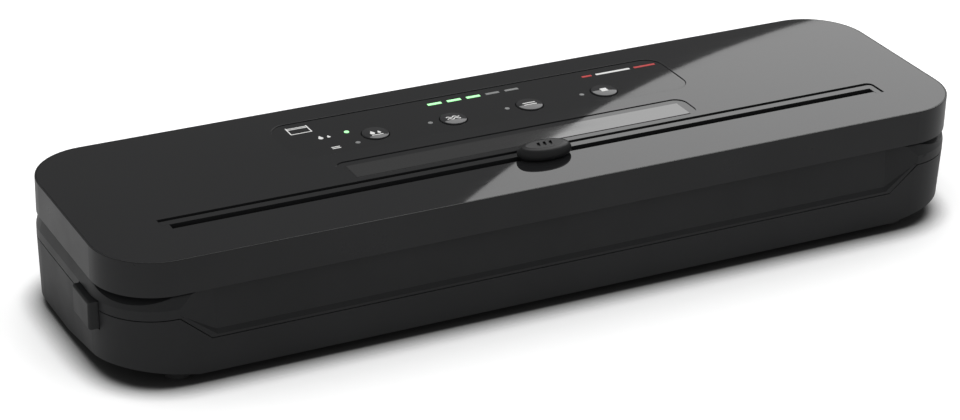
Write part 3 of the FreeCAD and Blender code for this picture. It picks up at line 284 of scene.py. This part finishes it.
def printed(name, colour):
    """Screen-printed ink: even, with a soft sheen and tiny pinholes."""
    material, tree, shader = new_material(name)
    dots = spread(tree, noise(tree, 4000.0, 1.0), 0.0, 1.0, 0.2, 0.45)
    tree.links.new(tint(tree, dots, shade(colour, 0.82), colour), shader.inputs["Base Color"])
    tree.links.new(spread(tree, noise(tree, 300.0), 0.4, 0.55), shader.inputs["Roughness"])
    shader.inputs["Specular IOR Level"].default_value = 0.3
    return material


BODY_GREY = (0.0115, 0.0118, 0.0124)
LID_GREY = (0.0118, 0.0120, 0.0126)
LOOKS = {
    "case_plastic": moulded("case_plastic", BODY_GREY, 0.42, 0.24),
    "frame_plastic": moulded("frame_plastic", shade(BODY_GREY, 0.97), 0.40, 0.24),
    "lid_plastic": moulded("lid_plastic", LID_GREY, 0.30, 0.26, depth=0.008),
    "lid_gloss": glossy("lid_gloss", LID_GREY, 0.02, 0.30, wave=0.001),
    "panel_film": glossy("panel_film", shade(LID_GREY, 0.9), 0.02, 0.30, wave=0.001),
    "window_clear": smoked("window_clear", (0.010, 0.010, 0.0102), 0.03),
    "window_grey": moulded("window_grey", (0.16, 0.16, 0.165), 0.4, 0.3),
    "key_plastic": glossy("key_plastic", (0.018, 0.0183, 0.0192), 0.04, 0.4, wave=0.001),
    "light_on": glowing("light_on", (0.35, 0.90, 0.38), 0.9),
    "light_off": glossy("light_off", (0.20, 0.205, 0.205), 0.3, 0.4),
    "inner_plastic": moulded("inner_plastic", (0.022, 0.022, 0.024), 0.5, 0.3),
    "gasket_foam": foam("gasket_foam", (0.030, 0.030, 0.031)),
    "seal_silicone": moulded("seal_silicone", (0.42, 0.07, 0.05), 0.5, 0.4, grain=900.0),
    "heater_aluminium": metal("heater_aluminium", (0.72, 0.73, 0.74), 0.35),
    "heating_nichrome": metal("heating_nichrome", (0.42, 0.40, 0.38), 0.3),
    "ptfe_cloth": woven("ptfe_cloth", (0.50, 0.35, 0.19)),
    "brass": metal("brass", (0.78, 0.58, 0.28), 0.28),
    "steel": metal("steel", (0.60, 0.60, 0.62), 0.3, (8.0, 8.0, 1.0)),
    "blade_steel": metal("blade_steel", (0.72, 0.72, 0.74), 0.2, (14.0, 14.0, 1.0)),
    "board_green": circuit_board("board_green", (0.02, 0.12, 0.05), (0.05, 0.22, 0.09)),
    "can_sleeve": moulded("can_sleeve", (0.03, 0.04, 0.09), 0.25, 0.5, grain=600.0),
    "relay_blue": moulded("relay_blue", (0.03, 0.10, 0.30), 0.35, 0.5),
    "sink_aluminium": metal("sink_aluminium", (0.75, 0.76, 0.77), 0.4, (1.0, 1.0, 10.0)),
    "core_iron": laminated("core_iron", (0.16, 0.16, 0.17)),
    "coil_tape": woven("coil_tape", (0.62, 0.46, 0.10), 1.2),
    "pump_plastic": moulded("pump_plastic", (0.025, 0.025, 0.027), 0.45, 0.35),
    "motor_steel": metal("motor_steel", (0.62, 0.62, 0.64), 0.25, (14.0, 1.0, 1.0)),
    "hose_silicone": moulded("hose_silicone", (0.62, 0.62, 0.60), 0.3, 0.5, grain=400.0),
    "foot_rubber": foam("foot_rubber", (0.016, 0.016, 0.016)),
    "switch_black": moulded("switch_black", (0.02, 0.02, 0.021), 0.4, 0.4),
    "hook_plastic": moulded("hook_plastic", (0.022, 0.022, 0.024), 0.4, 0.35),
    "knob_plastic": moulded("knob_plastic", (0.0100, 0.0102, 0.0107), 0.38, 0.28, depth=0.015),
}

for part in frame["record"]["subparts"]:
    item = NODES[part["node"]]
    item.data.materials.clear()
    item.data.materials.append(LOOKS[part["material_slot"]])


# ---------------------------------------------------------------- printed marks

def print_mark(name, body, shapes, centre, height, ink, dome=None):
    """Thin printed ink: each shape is a closed outline in millimetres about the mark's centre.

    On a domed face, dome is its radius in metres and height is taken at the middle.
    """
    depth = DOMED_INK_DEPTH if dome else INK_DEPTH
    mesh = bpy.data.meshes.new(name)
    work = bmesh.new()
    for outline in shapes:
        corners = []
        for x, y in outline:
            sink = (x * x + y * y) * MM * MM / (2 * dome) if dome else 0.0
            corners.append(work.verts.new((centre[0] + x * MM, centre[1] + y * MM, height - sink)))
        face = work.faces.new(corners)
        lifted = bmesh.ops.extrude_face_region(work, geom=[face])
        top = [v for v in lifted["geom"] if isinstance(v, bmesh.types.BMVert)]
        bmesh.ops.translate(work, verts=top, vec=(0, 0, depth))
    bmesh.ops.recalc_face_normals(work, faces=work.faces)
    work.to_mesh(mesh)
    work.free()
    piece = bpy.data.objects.new(name, mesh)
    bpy.context.scene.collection.objects.link(piece)
    mesh.materials.append(ink)
    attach(piece, body)


def bar(x0, x1, y0, y1):
    """A rectangle."""
    return [(x0, y0), (x1, y0), (x1, y1), (x0, y1)]


def drop(x, y, size):
    """A drop pictogram: a round belly drawn up to a point."""
    outline = []
    for i in range(25):
        angle = math.radians(-220 + 260 * i / 24)
        outline.append((x + size * math.cos(angle), y + size * math.sin(angle)))
    outline.append((x, y + 2.1 * size))
    return outline


def band(points, width):
    """A line of even width through the given points."""
    left, right = [], []
    for i, (x, y) in enumerate(points):
        before = points[max(i - 1, 0)]
        after = points[min(i + 1, len(points) - 1)]
        dx, dy = after[0] - before[0], after[1] - before[1]
        length = math.hypot(dx, dy)
        nx, ny = -dy / length * width / 2, dx / length * width / 2
        left.append((x + nx, y + ny))
        right.append((x - nx, y - ny))
    return left + right[::-1]


def ripple(y, half, rise, width):
    """A line of two waves; it is straight where rise is 0, and finely divided, to follow a dome."""
    points = [(-half + 2 * half * i / 24, y + rise * math.sin(4 * math.pi * i / 24)) for i in range(25)]
    return band(points, width)


WHITE_INK = printed("white_ink", (0.80, 0.80, 0.79))
RED_INK = printed("red_ink", (0.55, 0.02, 0.02))
key_marks = {
    "key_mode": [drop(-1.5, -0.6, 1.0), drop(1.4, -0.6, 0.7), ripple(-2.3, 2.4, 0.0, 0.5)],
    "key_pulse": [ripple(0.8, 2.8, 0.5, 0.5), ripple(-0.8, 2.8, 0.5, 0.5)],
    "key_seal": [ripple(0.8, 2.8, 0.0, 0.6), ripple(-0.8, 2.8, 0.0, 0.6)],
    "key_vacuum": [bar(-1.4, 1.4, -1.4, 1.4)],
}
for key, shapes in key_marks.items():
    low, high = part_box(key)
    middle = (low + high) / 2
    print_mark("mark_" + key, key, shapes, middle, high.z + INK_GAP, WHITE_INK, KEY_DOME)

panel_low, panel_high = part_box("control_overlay")
panel_middle = (panel_low + panel_high) / 2
panel_face = panel_high.z + INK_GAP


def on_panel(x, y):
    """A place on the control panel, in millimetres from its middle."""
    return (panel_middle.x + x * MM, panel_middle.y + y * MM)


BAG = [
    bar(-4.6, -4.1, -3.2, 3.2),
    bar(4.1, 4.6, -3.2, 3.2),
    bar(-4.1, 4.1, -3.2, -2.7),
    bar(-4.1, 4.1, 1.2, 1.7),
    bar(-4.1, 4.1, 2.2, 2.7),
]
DROPS = [drop(0, -0.4, 1.0), drop(3.4, -0.4, 0.7)]
DRY_BARS = [bar(-1.8, 1.8, -0.3, 0.3), bar(-1.8, 1.8, -1.5, -0.9)]
panel_marks = {
    "mark_bag": (BAG, (-76.7, 9.5), WHITE_INK, "light_off"),
    "mark_damp": (DROPS, (-71.7, -0.5), WHITE_INK, "light_off"),
    "mark_dry": (DRY_BARS, (-69.7, -10.5), WHITE_INK, "light_off"),
    "mark_stripe": ([bar(-10.0, 6.0, -0.7, 0.7)], (67.3, 10.5), WHITE_INK, "light_off"),
    "mark_dash": ([bar(-16.5, -12.0, -0.7, 0.7)], (67.3, 10.5), RED_INK, "seal_silicone"),
    "mark_tail": ([bar(8.0, 18.0, -0.7, 0.7)], (67.3, 10.5), RED_INK, "seal_silicone"),
}
for name, (shapes, spot, ink, slot) in panel_marks.items():
    print_mark(name, "lid", shapes, on_panel(*spot), panel_face, ink)


# ---------------------------------------------------------------- studio

def floor_material():
    """Pale paper, twice as bright for rays from the camera, with a painted contact shadow: its colour is
    darkened where it lies close to the machine.
    """
    material = bpy.data.materials.new("floor_paper")
    material.use_nodes = True
    tree = material.node_tree
    tree.nodes.clear()
    output = tree.nodes.new("ShaderNodeOutputMaterial")
    paper = tree.nodes.new("ShaderNodeBsdfDiffuse")
    grain = tint(tree, noise(tree, 300.0), PAPER_DARK, PAPER_LIGHT)
    # painted contact shadow: ambient occlusion blends the paper's colour towards CONTACT_SHADE close to the
    # machine
    near = tree.nodes.new("ShaderNodeAmbientOcclusion")
    near.samples = 32
    near.inputs["Distance"].default_value = CONTACT_REACH
    open_air = spread(tree, near.outputs["AO"], 0.0, 1.0, 0.42, 0.92)
    shadowed = tree.nodes.new("ShaderNodeMix")
    shadowed.data_type = "RGBA"
    shadowed.inputs["A"].default_value = CONTACT_SHADE
    tree.links.new(grain, shadowed.inputs["B"])
    tree.links.new(open_air, shadowed.inputs["Factor"])
    tree.links.new(shadowed.outputs["Result"], paper.inputs["Color"])
    lifted = tree.nodes.new("ShaderNodeAddShader")
    tree.links.new(paper.outputs[0], lifted.inputs[0])
    tree.links.new(paper.outputs[0], lifted.inputs[1])
    tree.links.new(by_ray(tree, "Is Camera Ray", paper, lifted), output.inputs["Surface"])
    return material


def build_floor():
    """A plain floor, which is not part of the machine."""
    mesh = bpy.data.meshes.new("studio_floor")
    work = bmesh.new()
    bmesh.ops.create_grid(work, x_segments=8, y_segments=8, size=FLOOR_SIZE)
    work.to_mesh(mesh)
    work.free()
    floor = bpy.data.objects.new("studio_floor", mesh)
    floor.location.z = -FLOOR_DROP
    bpy.context.scene.collection.objects.link(floor)
    mesh.materials.append(floor_material())


def build_world():
    """An even white dome for soft light, seen much darker in reflections, above all low down."""
    world = bpy.data.worlds.new("studio_world")
    bpy.context.scene.world = world
    world.use_nodes = True
    tree = world.node_tree
    tree.nodes.clear()
    output = tree.nodes.new("ShaderNodeOutputWorld")
    dome = tree.nodes.new("ShaderNodeBackground")
    dome.inputs["Color"].default_value = WHITE
    dome.inputs["Strength"].default_value = DOME_STRENGTH
    walls = tree.nodes.new("ShaderNodeBackground")
    walls.inputs["Color"].default_value = WHITE
    height = tree.nodes.new("ShaderNodeSeparateXYZ")
    tree.links.new(tree.nodes.new("ShaderNodeTexCoord").outputs["Generated"], height.inputs[0])
    rise = tree.nodes.new("ShaderNodeMapRange")
    rise.interpolation_type = "SMOOTHSTEP"
    limits = (("From Min", 0.05), ("From Max", 0.35), ("To Min", WALLS_LOW), ("To Max", WALLS_HIGH))
    for socket, value in limits:
        rise.inputs[socket].default_value = value
    tree.links.new(height.outputs["Z"], rise.inputs["Value"])
    tree.links.new(rise.outputs["Result"], walls.inputs["Strength"])
    tree.links.new(by_ray(tree, "Is Glossy Ray", dome, walls), output.inputs["Surface"])


def build_softbox():
    """A large round softbox behind and to the right, seen in reflections only: the bright half of the gloss."""
    aim = Vector(SOFTBOX_AIM).normalized()
    across = aim.cross(Vector((0, 0, 1))).normalized()
    above = across.cross(aim)
    data = bpy.data.lights.new("softbox", "AREA")
    data.shape = "DISK"
    data.size = 2 * SOFTBOX_RADIUS
    data.energy = SOFTBOX_RADIANCE * math.pi * math.pi * SOFTBOX_RADIUS ** 2
    light = bpy.data.objects.new("softbox", data)
    along, aside, raised = SOFTBOX_OFFSETS
    centre = aim * along + across * aside + above * raised + LID_MIDDLE
    light.matrix_world = Matrix.Translation(centre) @ aim.to_track_quat("Z", "Y").to_matrix().to_4x4()
    light.visible_diffuse = False
    bpy.context.scene.collection.objects.link(light)


def build_camera():
    """The photographer's view: from the front left and above, through a long lens."""
    azimuth, elevation, roll = (math.radians(a) for a in CAMERA_ANGLES)
    flat = math.cos(elevation)
    back = Vector((math.sin(azimuth) * flat, -math.cos(azimuth) * flat, math.sin(elevation)))
    right = Vector((math.cos(azimuth), math.sin(azimuth), 0))
    up = back.cross(right)
    turned_right = right * math.cos(roll) + up * math.sin(roll)
    turned_up = up * math.cos(roll) - right * math.sin(roll)
    matrix = Matrix((turned_right, turned_up, back)).transposed().to_4x4()
    matrix.translation = Vector(CAMERA_PLACE) - turned_right * CAMERA_SHIFT
    data = bpy.data.cameras.new("camera")
    data.sensor_width = 36.0
    data.lens = CAMERA_LENS
    camera = bpy.data.objects.new("camera", data)
    camera.matrix_world = matrix
    bpy.context.scene.collection.objects.link(camera)
    bpy.context.scene.camera = camera


build_floor()
build_world()
build_softbox()
build_camera()
bpy.context.scene.view_settings.view_transform = "Standard"
